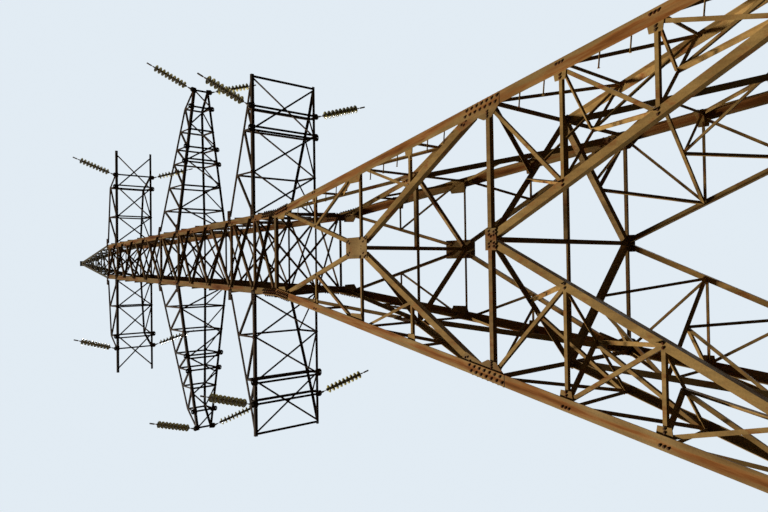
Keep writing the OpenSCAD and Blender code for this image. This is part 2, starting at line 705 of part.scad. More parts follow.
// Top arm of one side: a shallow box arm whose chords run past the last tie
arm3_stations = [0.408, 0.6745];
arm3_hang = 0.781;
module arm_top() {
    root = half(arm3_z);
    arm3_h = arm3_root - arm3_z;
    posts = arm3_stations * arm3_reach - [root, root];
    bend = [posts[1], arm3_h * 0.72];
    drop = arm3_reach * 0.79 - root;
    for (m = [0, 1]) mirror([0, m, 0]) {
        arm_side(arm3_z, 0) side_truss(arm3_h, posts, bend, drop, arm3_reach - root);
        chord_side(arm3_z, 0) {
            hanger_plate(posts[1], hanger_w * 0.9);
            hanger_plate(arm3_reach * arm3_hang - root, hanger_w * 0.8);
        }
    }
    deep = root - chord_w / 2;
    near = deep - 7;
    xs = [60, posts[0] - 15, posts[1], arm3_reach * 0.96 - root];
    crosses = [for (i = [0:2], m = [-1, 1]) [[root + xs[i], -m * near], [root + xs[i + 1], m * near]]];
    ties = [for (x = [posts[0] + 10, posts[1] - 70, posts[1] + 70, drop - 25])
        [[root + x, -deep], [root + x, deep]]];
    plan_web(concat(crosses, ties), arm3_z);
    head_struts(arm3_z, root, arm3_h, posts, bend, 0);
}

module arm_top_right() { color("sienna") arm_top(); }
module arm_top_left() { color("sienna") mirror([1, 0, 0]) arm_top(); }

// Outline of one disc from its cap to its pin, as radius and distance along the string
function disc_outline(s) = let(c = disc_cap_d / 2, r = disc_d / 2, p = disc_pitch) [
    [link_d / 2, s], [c * 0.7, s + p * 0.014], [c * 0.92, s + p * 0.123], [c, s + p * 0.384],
    [c * 0.8, s + p * 0.438], [r * 0.6, s + p * 0.507], [r * 0.88, s + p * 0.603], [r, s + p * 0.726],
    [r * 0.95, s + p * 0.767], [r * 0.84, s + p * 0.671], [r * 0.74, s + p * 0.74], [r * 0.66, s + p * 0.644],
    [r * 0.52, s + p * 0.712], [r * 0.42, s + p * 0.616], [link_d / 2, s + p * 0.658]
];

// Fork, rod, discs and clamp of one string, running along X from the middle of its hanger's hole
fork_w = 50;
fork_t = 12;
fork_throat = hanger_edge + 20;
fork_body = 36;
module string() {
    half_gap = hanger_t / 2 + fork_fit;
    tail = string_lead + discs * disc_pitch;
    start = fork_throat + fork_body / 2;
    for (m = [0, 1]) mirror([0, 0, m]) translate([0, 0, half_gap]) {
        cylinder(h = fork_t, d = fork_w, $fn = 32);
        translate([0, -fork_w / 2, 0]) cube([fork_throat + fork_body, fork_w, fork_t]);
    }
    translate([fork_throat, -fork_w / 2, -half_gap - 1]) cube([fork_body, fork_w, 2 * half_gap + 2]);
    translate([0, 0, -half_gap - fork_t - 10])
        cylinder(h = 2 * (half_gap + fork_t + 10), d = hanger_hole_d - 2 * fork_fit, $fn = 32);
    translate([start, 0, 0]) rotate([0, 90 + string_slope, 0]) translate([0, 0, -start]) rotate_extrude($fn = 48)
        polygon(concat(
            [[0, start], [link_d, start], [link_d, start + 60], [link_d / 2, start + 70]],
            [for (i = [0:discs - 1]) each disc_outline(string_lead + i * disc_pitch)],
            [[link_d / 2, tail + 20], [link_d, tail + 30], [link_d, tail + 90], [link_d / 2, tail + 100],
             [link_d / 2, tail + 130], [conductor_d * 0.9, tail + 160], [conductor_d * 0.9, tail + clamp_len],
             [conductor_d / 2, tail + clamp_len], [conductor_d / 2, tail + clamp_len / 2], [0, tail + clamp_len / 2]]));
}

// The near and the far string of one arm, turned with the line
module string_pair(z, sweep, x, turn) {
    for (m = [0, 1]) mirror([0, m, 0]) chord_side(z, sweep)
        translate([x, -hanger_out, hanger_low + hanger_t / 2]) rotate([0, 0, turn - sweep - 90]) string();
}
module strings_bottom(turn) { string_pair(arm1_z, 0, arm1_reach * arm1_hang - half(arm1_z), turn); }
module strings_middle(turn) {
    string_pair(arm2_z, atan(arm2_taper), (arm2_reach * arm2_hang - arm2_root) * arm2_stretch, turn);
}
module strings_top(turn) { string_pair(arm3_z, 0, arm3_reach * arm3_hang - half(arm3_z), turn); }

module strings_bottom_right() { color("olive") strings_bottom(line_angle); }
module strings_bottom_left() { color("olive") mirror([1, 0, 0]) strings_bottom(-line_angle); }
module strings_middle_right() { color("olive") strings_middle(line_angle); }
module strings_middle_left() { color("olive") mirror([1, 0, 0]) strings_middle(-line_angle); }
module strings_top_right() { color("olive") strings_top(line_angle); }
module strings_top_left() { color("olive") mirror([1, 0, 0]) strings_top(-line_angle); }

leg_front_right();
leg_back_right();
leg_back_left();
leg_front_left();
foot_bracing_front_right();
foot_bracing_back_right();
foot_bracing_back_left();
foot_bracing_front_left();
waist_bracing_front_right();
waist_bracing_back_right();
waist_bracing_back_left();
waist_bracing_front_left();
belt_frame();
cross_frame();
cage_leg_front_right();
cage_leg_back_right();
cage_leg_back_left();
cage_leg_front_left();
cage_bracing_front();
cage_bracing_right();
cage_bracing_back();
cage_bracing_left();
cage_frames();
peak();
arm_bottom_right();
arm_bottom_left();
arm_middle_right();
arm_middle_left();
arm_top_right();
arm_top_left();
strings_bottom_right();
strings_bottom_left();
strings_middle_right();
strings_middle_left();
strings_top_right();
strings_top_left();
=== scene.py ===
import math
import bpy
import numpy as np
from mathutils import Matrix, Vector


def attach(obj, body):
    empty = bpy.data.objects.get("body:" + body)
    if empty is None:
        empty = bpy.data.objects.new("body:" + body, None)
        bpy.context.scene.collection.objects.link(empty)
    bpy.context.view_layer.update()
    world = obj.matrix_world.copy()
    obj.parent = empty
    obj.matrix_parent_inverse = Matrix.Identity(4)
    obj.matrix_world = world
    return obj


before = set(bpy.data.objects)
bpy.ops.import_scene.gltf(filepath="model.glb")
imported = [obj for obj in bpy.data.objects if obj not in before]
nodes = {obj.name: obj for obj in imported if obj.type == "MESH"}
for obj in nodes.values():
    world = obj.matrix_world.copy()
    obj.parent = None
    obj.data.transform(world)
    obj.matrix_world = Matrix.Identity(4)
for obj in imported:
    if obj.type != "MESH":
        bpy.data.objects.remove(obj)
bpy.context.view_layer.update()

# ---- Standpoint -----------------------------------------------------------------------------
# The tower is seen from low down, eleven metres in front of its centre line, looking steeply
# up, with the picture turned on its side: its top points to the left of the frame.
eye = (-0.4584, -11.0957, 1.1409)
heading, tilt, roll = 0.02741, 0.83596, -0.03491
lens_px = 650.0
frame_px = 768.0

forward = Vector((math.sin(heading) * math.cos(tilt),
                  math.cos(heading) * math.cos(tilt),
                  math.sin(tilt)))
level = Vector((math.cos(heading), -math.sin(heading), 0.0))
upward = level.cross(forward)
across = level * math.cos(roll) + upward * math.sin(roll)
along = upward * math.cos(roll) - level * math.sin(roll)

lens = bpy.data.cameras.new("standpoint")
lens.sensor_width = 36.0
lens.lens = lens_px / frame_px * lens.sensor_width
lens.clip_start = 0.1
lens.clip_end = 500.0
camera = bpy.data.objects.new("standpoint", lens)
bpy.context.scene.collection.objects.link(camera)
camera.matrix_world = Matrix((
    (-along.x, across.x, -forward.x, eye[0]),
    (-along.y, across.y, -forward.y, eye[1]),
    (-along.z, across.z, -forward.z, eye[2]),
    (0.0, 0.0, 0.0, 1.0)))
bpy.context.scene.camera = camera

# ---- Studio ---------------------------------------------------------------------------------
# A plain floor under a pale surround. A soft key light stands high behind the camera and to its
# left, and a second one fills the far side. Floor and surround show to the camera and in mirror
# images as set here, but light the tower far more weakly, so the undersides of bars stay dark.
bpy.context.scene.view_settings.view_transform = "Standard"


def new_material(name):
    """A material with its node tree, its surface shader and an object-space coordinate socket."""
    material = bpy.data.materials.new(name)
    material.use_nodes = True
    tree = material.node_tree
    shader = tree.nodes["Principled BSDF"]
    place = tree.nodes.new("ShaderNodeTexCoord")
    return material, tree, shader, place.outputs["Object"]


def shown_to_eye(tree):
    """One for a ray of the camera, of a mirror image or through glass, and nothing for the rest."""
    ray = tree.nodes.new("ShaderNodeLightPath")
    value = ray.outputs["Is Camera Ray"]
    for kind in ("Is Glossy Ray", "Is Transmission Ray"):
        either = tree.nodes.new("ShaderNodeMath")
        either.operation = "MAXIMUM"
        tree.links.new(value, either.inputs[0])
        tree.links.new(ray.outputs[kind], either.inputs[1])
        value = either.outputs[0]
    return value


floor_size = 700.0
corners = np.array([[-1, -1, 0], [1, -1, 0], [1, 1, 0], [-1, 1, 0]]) * floor_size / 2
floor_mesh = bpy.data.meshes.new("floor")
floor_mesh.from_pydata(corners.tolist(), [], [(0, 1, 2, 3)])
floor = bpy.data.objects.new("floor", floor_mesh)
bpy.context.scene.collection.objects.link(floor)
floor_material, tree, shader, place = new_material("pale_floor")
shader.inputs["Base Color"].default_value = (0.28, 0.28, 0.275, 1.0)
shader.inputs["Roughness"].default_value = 0.9
dim = tree.nodes.new("ShaderNodeBsdfDiffuse")
dim.inputs["Color"].default_value = (0.010, 0.010, 0.008, 1.0)
shown = tree.nodes.new("ShaderNodeMixShader")
tree.links.new(shown_to_eye(tree), shown.inputs["Fac"])
tree.links.new(dim.outputs[0], shown.inputs[1])
tree.links.new(shader.outputs[0], shown.inputs[2])
tree.links.new(shown.outputs[0], tree.nodes["Material Output"].inputs["Surface"])
floor_mesh.materials.append(floor_material)

world = bpy.data.worlds.new("surround")
world.use_nodes = True
bpy.context.scene.world = world
tree = world.node_tree
ambient = tree.nodes["Background"]
ambient.inputs["Color"].default_value = (0.88, 0.94, 1.0, 1.0)
ambient.inputs["Strength"].default_value = 0.05
seen = tree.nodes.new("ShaderNodeBackground")
seen.inputs["Color"].default_value = (0.80, 0.88, 0.95, 1.0)
seen.inputs["Strength"].default_value = 0.95
choice = tree.nodes.new("ShaderNodeMixShader")
tree.links.new(shown_to_eye(tree), choice.inputs["Fac"])
tree.links.new(ambient.outputs[0], choice.inputs[1])
tree.links.new(seen.outputs[0], choice.inputs[2])
tree.links.new(choice.outputs[0], tree.nodes["World Output"].inputs["Surface"])

for name, strength, spread, direction in (
        ("key", 5.6, 7.0, (0.50, 0.37, -0.78)),
        ("fill", 1.4, 30.0, (-0.24, -0.93, -0.28))):
    lamp_data = bpy.data.lights.new(name, "SUN")
    lamp_data.energy = strength
    lamp_data.angle = math.radians(spread)
    lamp = bpy.data.objects.new(name, lamp_data)
    lamp.rotation_euler = Vector(direction).to_track_quat("-Z", "Y").to_euler()
    bpy.context.scene.collection.objects.link(lamp)

# ---- Legs -----------------------------------------------------------------------------------
# Four heavy steel angles, 200 mm wide, spliced at the waist with bolted plates. Rust shows in
# long streaks through the ochre coat, mostly down the middle of the flanges.


def linked(tree, socket, value):
    """Links a socket as the value, or writes a plain number or colour into it."""
    if isinstance(value, bpy.types.NodeSocket):
        tree.links.new(value, socket)
    else:
        socket.default_value = value


def ramp(tree, source, stops):
    """Maps a number to a colour or grey through straight steps between the given stops."""
    node = tree.nodes.new("ShaderNodeValToRGB")
    points = node.color_ramp.elements
    while len(points) < len(stops):
        points.new(0.5)
    for point, (at, colour) in zip(points, stops):
        point.position = at
        point.color = (*colour, 1.0) if isinstance(colour, tuple) else (colour, colour, colour, 1.0)
    tree.links.new(source, node.inputs["Fac"])
    return node.outputs["Color"]


def noise(tree, place, scale, detail, stretch=(1.0, 1.0, 1.0), roughness=0.55):
    """Cloud noise at a spacing of one over scale metres, stretched along the axes."""
    turn = tree.nodes.new("ShaderNodeMapping")
    turn.inputs["Scale"].default_value = stretch
    tree.links.new(place, turn.inputs["Vector"])
    node = tree.nodes.new("ShaderNodeTexNoise")
    node.inputs["Scale"].default_value = scale
    node.inputs["Detail"].default_value = detail
    node.inputs["Roughness"].default_value = roughness
    tree.links.new(turn.outputs["Vector"], node.inputs["Vector"])
    return node.outputs["Fac"]


def mixed(tree, kind, amount, first, second):
    """Mixes two colours by a kind of mix, where each is a plain value or a socket."""
    node = tree.nodes.new("ShaderNodeMix")
    node.data_type = "RGBA"
    node.blend_type = kind
    linked(tree, node.inputs["Factor"], amount)
    linked(tree, node.inputs["A"], first)
    linked(tree, node.inputs["B"], second)
    return node.outputs["Result"]


def number_math(tree, kind, first, second=0.0, third=0.0):
    """One number operation on sockets or plain numbers."""
    node = tree.nodes.new("ShaderNodeMath")
    node.operation = kind
    linked(tree, node.inputs[0], first)
    linked(tree, node.inputs[1], second)
    if kind in ("MULTIPLY_ADD", "COMPARE"):
        linked(tree, node.inputs[2], third)
    return node.outputs[0]


def along_leg(tree, place, slope, heel, width):
    """Coordinates that stay with a leg up its slope: |x| + slope z, |y| + slope z and z, shifted
    along by another amount for each of the four legs. Also gives the nearness to the middle of
    the flange: one minus the distance from its middle line over half its width."""
    parts = tree.nodes.new("ShaderNodeSeparateXYZ")
    tree.links.new(place, parts.inputs[0])
    height = parts.outputs["Z"]
    x = number_math(tree, "MULTIPLY_ADD", height, slope,
                    number_math(tree, "ABSOLUTE", parts.outputs["X"]))
    y = number_math(tree, "MULTIPLY_ADD", height, slope,
                    number_math(tree, "ABSOLUTE", parts.outputs["Y"]))
    shift_x, shift_y = 5.0, 2.5
    z = number_math(tree, "MULTIPLY_ADD",
                    number_math(tree, "SIGN", parts.outputs["X"]), shift_x, height)
    z = number_math(tree, "MULTIPLY_ADD",
                    number_math(tree, "SIGN", parts.outputs["Y"]), shift_y, z)
    joined = tree.nodes.new("ShaderNodeCombineXYZ")
    for value, socket in ((x, "X"), (y, "Y"), (z, "Z")):
        tree.links.new(value, joined.inputs[socket])
    across = number_math(tree, "SUBTRACT", heel, number_math(tree, "MINIMUM", x, y))
    off = number_math(tree, "ABSOLUTE", number_math(tree, "SUBTRACT", across, width / 2))
    middle = number_math(tree, "SUBTRACT", 1.0, number_math(tree, "DIVIDE", off, width / 2))
    return joined.outputs[0], middle, height


def weathered_steel(name, pale, dark, rust, rust_from, streak, leg=None, joints=()):
    """Clouds of two coat colours with fine speckle. Rust shows where a streaked noise passes a
    threshold, darker at its heart, and thin runs of dirt hang down. The rust also roughens. On a
    leg the pattern follows its slope, rust gathers in the middle of the flange, and each joint
    is a dark line across it."""
    material, tree, shader, place = new_material(name)
    if leg:
        place, middle, height = along_leg(tree, place, *leg)
    coat = mixed(tree, "MIX", ramp(tree, noise(tree, place, 1.3, 7.0), [(0.35, 0.0), (0.65, 1.0)]),
                 (*dark, 1.0), (*pale, 1.0))
    speckle = ramp(tree, noise(tree, place, 42.0, 4.0), [(0.30, 0.72), (0.70, 1.0)])
    coat = mixed(tree, "MULTIPLY", 0.8, coat, speckle)
    patches = noise(tree, place, 4.0, 9.0, streak, 0.66)
    if leg:
        patches = number_math(tree, "MULTIPLY_ADD", middle, 0.07, patches)
    amount = ramp(tree, patches, [(rust_from, 0.0), (rust_from + 0.13, 1.0)])
    deep_rust = tuple(0.45 * c for c in rust)
    heart = ramp(tree, patches, [(rust_from + 0.05, rust), (rust_from + 0.22, deep_rust)])
    body = mixed(tree, "MIX", amount, coat, heart)
    runs = ramp(tree, noise(tree, place, 11.0, 3.0, (1.0, 1.0, 0.05)), [(0.40, 0.62), (0.56, 1.0)])
    body = mixed(tree, "MULTIPLY", 0.5, body, runs)
    for joint in joints:
        gap = number_math(tree, "COMPARE", height, joint, 0.009)
        body = mixed(tree, "MIX", gap, body, (0.02, 0.013, 0.008, 1.0))
    tree.links.new(body, shader.inputs["Base Color"])
    tree.links.new(ramp(tree, patches, [(0.35, 0.52), (0.70, 0.85)]), shader.inputs["Roughness"])
    shader.inputs["Specular IOR Level"].default_value = 0.02
    bump = tree.nodes.new("ShaderNodeBump")
    bump.inputs["Strength"].default_value = 0.4
    bump.inputs["Distance"].default_value = 0.003
    tree.links.new(noise(tree, place, 70.0, 5.0), bump.inputs["Height"])
    tree.links.new(bump.outputs["Normal"], shader.inputs["Normal"])
    return material


def finish(thing, material):
    """Gives a node or a new piece one material."""
    thing.data.materials.clear()
    thing.data.materials.append(material)


foot_half, waist_half, cage_half, tip_half = 3.575, 1.185, 0.755, 0.065
waist_z, cage_z, tip_z = 16.61, 31.10, 36.956
belt_z = 8.12
leg_w, leg_t, cage_leg_t, gusset_t = 0.200, 0.020, 0.016, 0.012
bar_depth = leg_t + gusset_t
leg_joint_z = 7.802
leg_batter = (foot_half - waist_half) / waist_z
leg_steel = weathered_steel(
    "leg_steel", pale=(0.36, 0.215, 0.074), dark=(0.24, 0.128, 0.038), rust=(0.32, 0.112, 0.026),
    rust_from=0.475, streak=(1.6, 1.6, 0.14),
    leg=(leg_batter, foot_half, leg_w), joints=(leg_joint_z,))
for corner in ("front_right", "back_right", "back_left", "front_left"):
    finish(nodes["leg_" + corner], leg_steel)


def half(z):
    """Half of the tower's width at a height: straight between foot, waist, cage top and tip."""
    return np.interp(z, (0.0, waist_z, cage_z, tip_z),
                     (foot_half, waist_half, cage_half, tip_half))


def on_faces(x, z, depth, sides=(0, 1, 2, 3), mirrored=True):
    """Points of the sloping faces, from distance to the centre line, height and depth behind the
    outer plane. Each comes with the outward normal. Both halves of each side are given."""
    x, z, depth = (np.atleast_1d(np.asarray(v, float)) for v in (x, z, depth))
    x, z, depth = np.broadcast_arrays(x, z, depth)
    if mirrored:
        x = np.concatenate((x, -x))
        z, depth = np.concatenate((z, z)), np.concatenate((depth, depth))
    lean = (half(z - 0.01) - half(z + 0.01)) / 0.02
    points, normals = [], []
    for side in sides:
        turn = math.pi / 2 * side
        wide = np.array([math.cos(turn), math.sin(turn), 0.0])
        out = np.array([math.sin(turn), -math.cos(turn), 0.0])
        normal = (out + lean[:, None] * np.array([0.0, 0.0, 1.0])) / np.sqrt(1 + lean ** 2)[:, None]
        at = x[:, None] * wide + half(z)[:, None] * out + z[:, None] * np.array([0.0, 0.0, 1.0])
        points.append(at - depth[:, None] * normal)
        normals.append(normal)
    return np.concatenate(points), np.concatenate(normals)


def surface(name, points, faces, material, smooth=False):
    """A new piece of the tower from its points and faces."""
    mesh = bpy.data.meshes.new(name)
    mesh.from_pydata(points.tolist(), [], faces)
    mesh.polygons.foreach_set("use_smooth", np.full(len(mesh.polygons), smooth))
    mesh.materials.append(material)
    piece = bpy.data.objects.new(name, mesh)
    bpy.context.scene.collection.objects.link(piece)
    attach(piece, "root")
    return piece


def ring(sides, radius, height, phase=0.0):
    """Points of a flat ring with some sides, at a height above its seat."""
    angle = phase + 2 * math.pi * np.arange(sides) / sides
    return np.stack((radius * np.cos(angle), radius * np.sin(angle), np.full(sides, height)), 1)


def stacked(rings):
    """Points and faces of a closed solid through rings of equal sides, lowest first."""
    sides = len(rings[0])
    faces = [tuple(range(sides))[::-1], tuple(range((len(rings) - 1) * sides, len(rings) * sides))]
    i = np.arange(sides)
    after = (i + 1) % sides
    for low in range(0, (len(rings) - 1) * sides, sides):
        band = (low + i, low + after, low + sides + after, low + sides + i)
        faces += np.stack(band, 1).tolist()
    return np.concatenate(rings), faces


def bolt_head(size, nut):
    """A washer with a hexagon on it, chamfered on top. A nut has the bolt's end standing out."""
    height = 0.62 * size if not nut else 0.78 * size
    washer_r, hexagon_r, top_r, end_r = 0.78 * size, 0.577 * size, 0.50 * size, 0.30 * size
    parts = [stacked([ring(8, washer_r, -0.001), ring(8, washer_r, 0.10 * size)]),
             stacked([ring(6, hexagon_r, 0.08 * size), ring(6, hexagon_r, 0.9 * height),
                      ring(6, top_r, height)])]
    if nut:
        parts.append(stacked([ring(6, end_r, 0.7 * height), ring(6, end_r, 1.45 * height)]))
    points, faces, start = [], [], 0
    for more, polygons in parts:
        points.append(more)
        faces += [tuple(start + i for i in polygon) for polygon in polygons]
        start += len(more)
    return np.concatenate(points), faces


def bolts(name, seats, size, material, nut=False):
    """Copies a bolt head to every seat, each a point and a normal, turned at random about it."""
    at, normal = (np.concatenate(part) for part in zip(*seats))
    unit, polygons = bolt_head(size, nut)
    rough = np.where(np.abs(normal[:, 2:3]) > 0.9, [[1.0, 0.0, 0.0]], [[0.0, 0.0, 1.0]])
    first = np.cross(rough, normal)
    first /= np.linalg.norm(first, axis=1)[:, None]
    second = np.cross(normal, first)
    turn = np.random.default_rng(len(name)).uniform(0, math.pi / 3, len(at))[:, None]
    first, second = (first * np.cos(turn) + second * np.sin(turn),
                     second * np.cos(turn) - first * np.sin(turn))
    points = (at[:, None] + unit[None, :, 0:1] * first[:, None]
              + unit[None, :, 1:2] * second[:, None]
              + unit[None, :, 2:3] * normal[:, None]).reshape(-1, 3)
    shapes = [[i + k * len(unit) for i in polygon] for k in range(len(at)) for polygon in polygons]
    return surface(name, points, shapes, material)


bolt_steel = weathered_steel(
    "bolt_steel", pale=(0.16, 0.088, 0.040), dark=(0.08, 0.043, 0.020), rust=(0.13, 0.040, 0.014),
    rust_from=0.44, streak=(1.0, 1.0, 1.0))
splice = [np.arange(0.06, 0.67, 0.10), np.array([0.045, 0.120])]
rise, inset = (grid.ravel() for grid in np.meshgrid(*splice))
rise = np.where(inset > 0.1, rise + 0.03, rise)
splice_t = 0.012
heads, nuts = [], []
for sense in (-1, 1):
    z = waist_z + sense * rise
    nuts.append(on_faces(half(z) - inset, z, -splice_t))
    at, normal = on_faces(half(z) - inset, z, bar_depth if sense < 0 else cage_leg_t)
    heads.append((at, -normal))
joint_z = belt_z + np.arange(-0.26, 0.56, 0.125)
for inset, shift in ((0.055, 0.0), (0.145, 0.045)):
    z = joint_z + shift
    heads.append(on_faces(half(z) - inset, z, 0.0))
    at, normal = on_faces(half(z) - inset, z, bar_depth)
    nuts.append((at, -normal))
bolts("leg_bolts", heads, 0.036, bolt_steel)
bolts("leg_nuts", nuts, 0.040, bolt_steel, True)

# ---- Foot and waist bracing -----------------------------------------------------------------
# Lighter angles between the legs, bolted to gusset plates behind the leg flanges. Their coat is
# much the same ochre with less rust in it, and without the legs' pattern along the slope.
bar_steel = weathered_steel(
    "bar_steel", pale=(0.39, 0.228, 0.070), dark=(0.25, 0.136, 0.040), rust=(0.27, 0.092, 0.024),
    rust_from=0.54, streak=(1.0, 1.0, 0.5))
plate_steel = weathered_steel(
    "plate_steel", pale=(0.33, 0.196, 0.070), dark=(0.21, 0.115, 0.037), rust=(0.23, 0.081, 0.024),
    rust_from=0.52, streak=(1.0, 1.0, 0.6))
for corner in ("front_right", "back_right", "back_left", "front_left"):
    finish(nodes["foot_bracing_" + corner], bar_steel)
    finish(nodes["waist_bracing_" + corner], bar_steel)
finish(nodes["belt_frame"], plate_steel)
finish(nodes["cross_frame"], plate_steel)

cross_z, rung_pitch = 12.40, 1.575
main_t, belt_t, redundant_t = 0.010, 0.008, 0.006
foot_z, foot_gap = 1.13, 0.03
foot_reach = float(half(foot_z)) - leg_w / 2


def diagonal(z):
    """Distance of a foot diagonal from the centre line: straight from the belt to the foot."""
    return foot_gap + (foot_reach - foot_gap) * (belt_z - z) / (belt_z - foot_z)


def paired(x, z, outer, inner, heads, nuts):
    """Adds bolts with their heads at one depth and their nuts at another."""
    heads.append(on_faces(x, z, outer))
    at, normal = on_faces(x, z, inner)
    nuts.append((at, -normal))


flange_bolt, tab_bolts = 0.06, np.array([0.235, 0.285])
heads, nuts = [], []
for rung in belt_z - rung_pitch * np.arange(1, 4):
    z = rung + np.array([-0.06, 0.0, 0.06])
    paired(half(z) - flange_bolt, z, 0.0, bar_depth, heads, nuts)
    paired(half(rung) - tab_bolts, rung, leg_t, bar_depth + redundant_t, heads, nuts)
    paired(diagonal(rung) + np.array([-0.03, 0.03]), rung,
           bar_depth, bar_depth + main_t, heads, nuts)
for z in (belt_z - 0.105, belt_z - 0.150):
    paired(diagonal(z) + np.array([-0.012, 0.045]), z, leg_t, bar_depth + main_t, heads, nuts)
paired(np.array([0.075, 0.135]), belt_z + 0.012, leg_t, bar_depth + belt_t, heads, nuts)
paired(half(belt_z) - np.array([0.230, 0.275, 0.320]), belt_z,
       leg_t, bar_depth + belt_t, heads, nuts)
foot_row = foot_z + np.array([0.10, 0.22, 0.34, 0.46])
paired(diagonal(foot_row), foot_row, leg_t, bar_depth + main_t, heads, nuts)
foot_row = foot_z + np.arange(-0.05, 0.8, 0.17)
paired(half(foot_row) - flange_bolt, foot_row, 0.0, bar_depth, heads, nuts)

head_z, arm_foot_z, cross_rung_z = 16.21, 8.54, cross_z - 0.165
arm_low = (0.120, cross_z + 0.264)
arm_head = (float(half(head_z)) - leg_w / 2, head_z)
leg_end = (0.144, cross_z - 0.264)
arm_foot = (float(half(arm_foot_z)) - leg_w / 2 - 0.06, arm_foot_z)


def on_bar(start, end, z):
    """Distance from the centre line of a straight bar at a height."""
    return start[0] + (end[0] - start[0]) * (z - start[1]) / (end[1] - start[1])


z = cross_z + np.array([0.29, 0.34, 0.39])
paired(on_bar(arm_low, arm_head, z) + np.array([-0.02, 0.02, -0.02]), z,
       leg_t, bar_depth + belt_t, heads, nuts)
z = cross_z - np.array([0.29, 0.34, 0.39])
paired(on_bar(leg_end, arm_foot, z) + np.array([-0.03, 0.03, -0.03]), z,
       leg_t, bar_depth + main_t, heads, nuts)
paired(np.array([0.195, 0.225]), cross_rung_z, leg_t, bar_depth + redundant_t, heads, nuts)
z = np.array([15.90, 15.98, 16.06])
paired(on_bar(arm_low, arm_head, z), z, leg_t, bar_depth + belt_t, heads, nuts)
z = np.array([8.66, 8.72, 8.78])
paired(on_bar(leg_end, arm_foot, z) + np.array([0.0, -0.03, 0.02]), z,
       leg_t, bar_depth + main_t, heads, nuts)
mid_z = 14.35
paired(half(mid_z) - tab_bolts, mid_z, leg_t, bar_depth + redundant_t, heads, nuts)
paired(on_bar(arm_low, arm_head, mid_z), mid_z, bar_depth, bar_depth + belt_t, heads, nuts)
z = mid_z + np.array([-0.05, 0.05])
paired(half(z) - flange_bolt, z, 0.0, bar_depth, heads, nuts)
bolts("bracing_bolts", heads, 0.030, bolt_steel)
bolts("bracing_nuts", nuts, 0.033, bolt_steel, True)

# ---- Climbing pegs --------------------------------------------------------------------------
# Round steel pegs with button heads, bolted behind the flange of one leg about every half metre
# and standing out past its edge. None is set where a bar or plate meets the leg.
cage_leg_w = 0.180
peg_out, peg_r = 0.215, 0.012
peg_seat, peg_rise, peg_clear = 1.6, 0.1, 0.24
peg_profile = [(-0.07, 0.9), (0.0, 1.0), (peg_out - 0.008, 1.0),
               (peg_out - 0.006, 1.8), (peg_out, 1.8)]
peg_rings = [ring(8, peg_r * wide, along_x) for along_x, wide in peg_profile]
peg_points, peg_faces = stacked(peg_rings)
levels = np.concatenate((np.arange(2.27, 7.5, 0.51), np.arange(9.27, waist_z - 1.2, 0.50),
                         np.arange(waist_z + 1.0, cage_z - 0.2, 0.47)))
taken = np.concatenate((belt_z - rung_pitch * np.arange(0, 4),
                        [mid_z, cross_z, cross_rung_z, 15.9, 8.6]))
free = np.array([np.abs(z - taken).min() > peg_clear for z in levels])
pegs = []
for z in levels[free]:
    low = z < waist_z
    flange_w, flange_t = (leg_w, leg_t) if low else (cage_leg_w, cage_leg_t)
    x = float(half(z)) - flange_w - peg_points[:, 2]
    y = -float(half(z)) + flange_t + peg_r * peg_seat + peg_points[:, 1]
    pegs.append(np.stack((x, y, z + peg_points[:, 0] + peg_rise * peg_points[:, 2]), 1))
shapes = [[i + k * len(peg_points) for i in polygon]
          for k in range(len(pegs)) for polygon in peg_faces]
surface("climbing_pegs", np.concatenate(pegs), shapes, bar_steel, False)

# ---- Cage -----------------------------------------------------------------------------------
# The slim upper body: four lighter legs, crossed angles in every panel, one on each side of the
# leg flanges, and level frames where the arms join. The thin bars there are painted browner and
# much darker than the legs, as painted shade.
cage_batter = (waist_half - cage_half) / (cage_z - waist_z)
cage_steel = weathered_steel(
    "cage_steel", pale=(0.36, 0.214, 0.072), dark=(0.22, 0.120, 0.038), rust=(0.28, 0.094, 0.024),
    rust_from=0.49, streak=(1.6, 1.6, 0.2),
    leg=(cage_batter, waist_half + cage_batter * waist_z, cage_leg_w))
for corner in ("front_right", "back_right", "back_left", "front_left"):
    finish(nodes["cage_leg_" + corner], cage_steel)
# Painted shade: the thin cage bars and frames get a far darker coat than the rest of the steel.
brace_steel_painted_shade = weathered_steel(
    "brace_steel_painted_shade", pale=(0.22, 0.128, 0.048), dark=(0.115, 0.066, 0.025), rust=(0.17, 0.060, 0.017),
    rust_from=0.52, streak=(1.0, 1.0, 0.5))
for side in ("front", "right", "back", "left"):
    finish(nodes["cage_bracing_" + side], brace_steel_painted_shade)
finish(nodes["cage_frames"], brace_steel_painted_shade)

arm_z = (17.88, 23.38, 29.90)
arm_h = (1.45, 1.62, cage_z - 0.06 - 29.90)
arm_reach = (5.34, 6.23, 4.83)
shrink = 0.87


def run(low, high, count):
    """Heights of panels that shrink by a fixed ratio from one to the next."""
    unit = (high - low) * (1 - shrink) / (1 - shrink ** count)
    return low + unit * (1 - shrink ** np.arange(count)) / (1 - shrink)


panels = np.concatenate((
    [waist_z + 0.06, arm_z[0]], run(arm_z[0] + arm_h[0], arm_z[1], 3), [arm_z[1]],
    run(arm_z[1] + arm_h[1], arm_z[2], 4), [arm_z[2], cage_z - 0.06]))
edge_gap, bar_w, cage_bar_t = 0.119, 0.070, 0.007
inner_end, outer_end = cage_leg_t + bar_w * 1.5 + 0.002, 0.098
heads, nuts = [], []
for low, high in zip(panels[:-1] + edge_gap, panels[1:] - edge_gap):
    for start, end, lift in (
            (-(half(low) - inner_end), half(high) - inner_end, 0.0),
            (half(low) - outer_end, -(half(high) - outer_end), -cage_bar_t)):
        share = np.array([0.012, 0.045, 0.955, 0.988])
        x, z = start + (end - start) * share, low + (high - low) * share
        heads.append(on_faces(x, z, lift, mirrored=False))
        behind = cage_leg_t + (cage_bar_t if lift == 0.0 else 0.0)
        at, normal = on_faces(x, z, behind, mirrored=False)
        nuts.append((at, -normal))
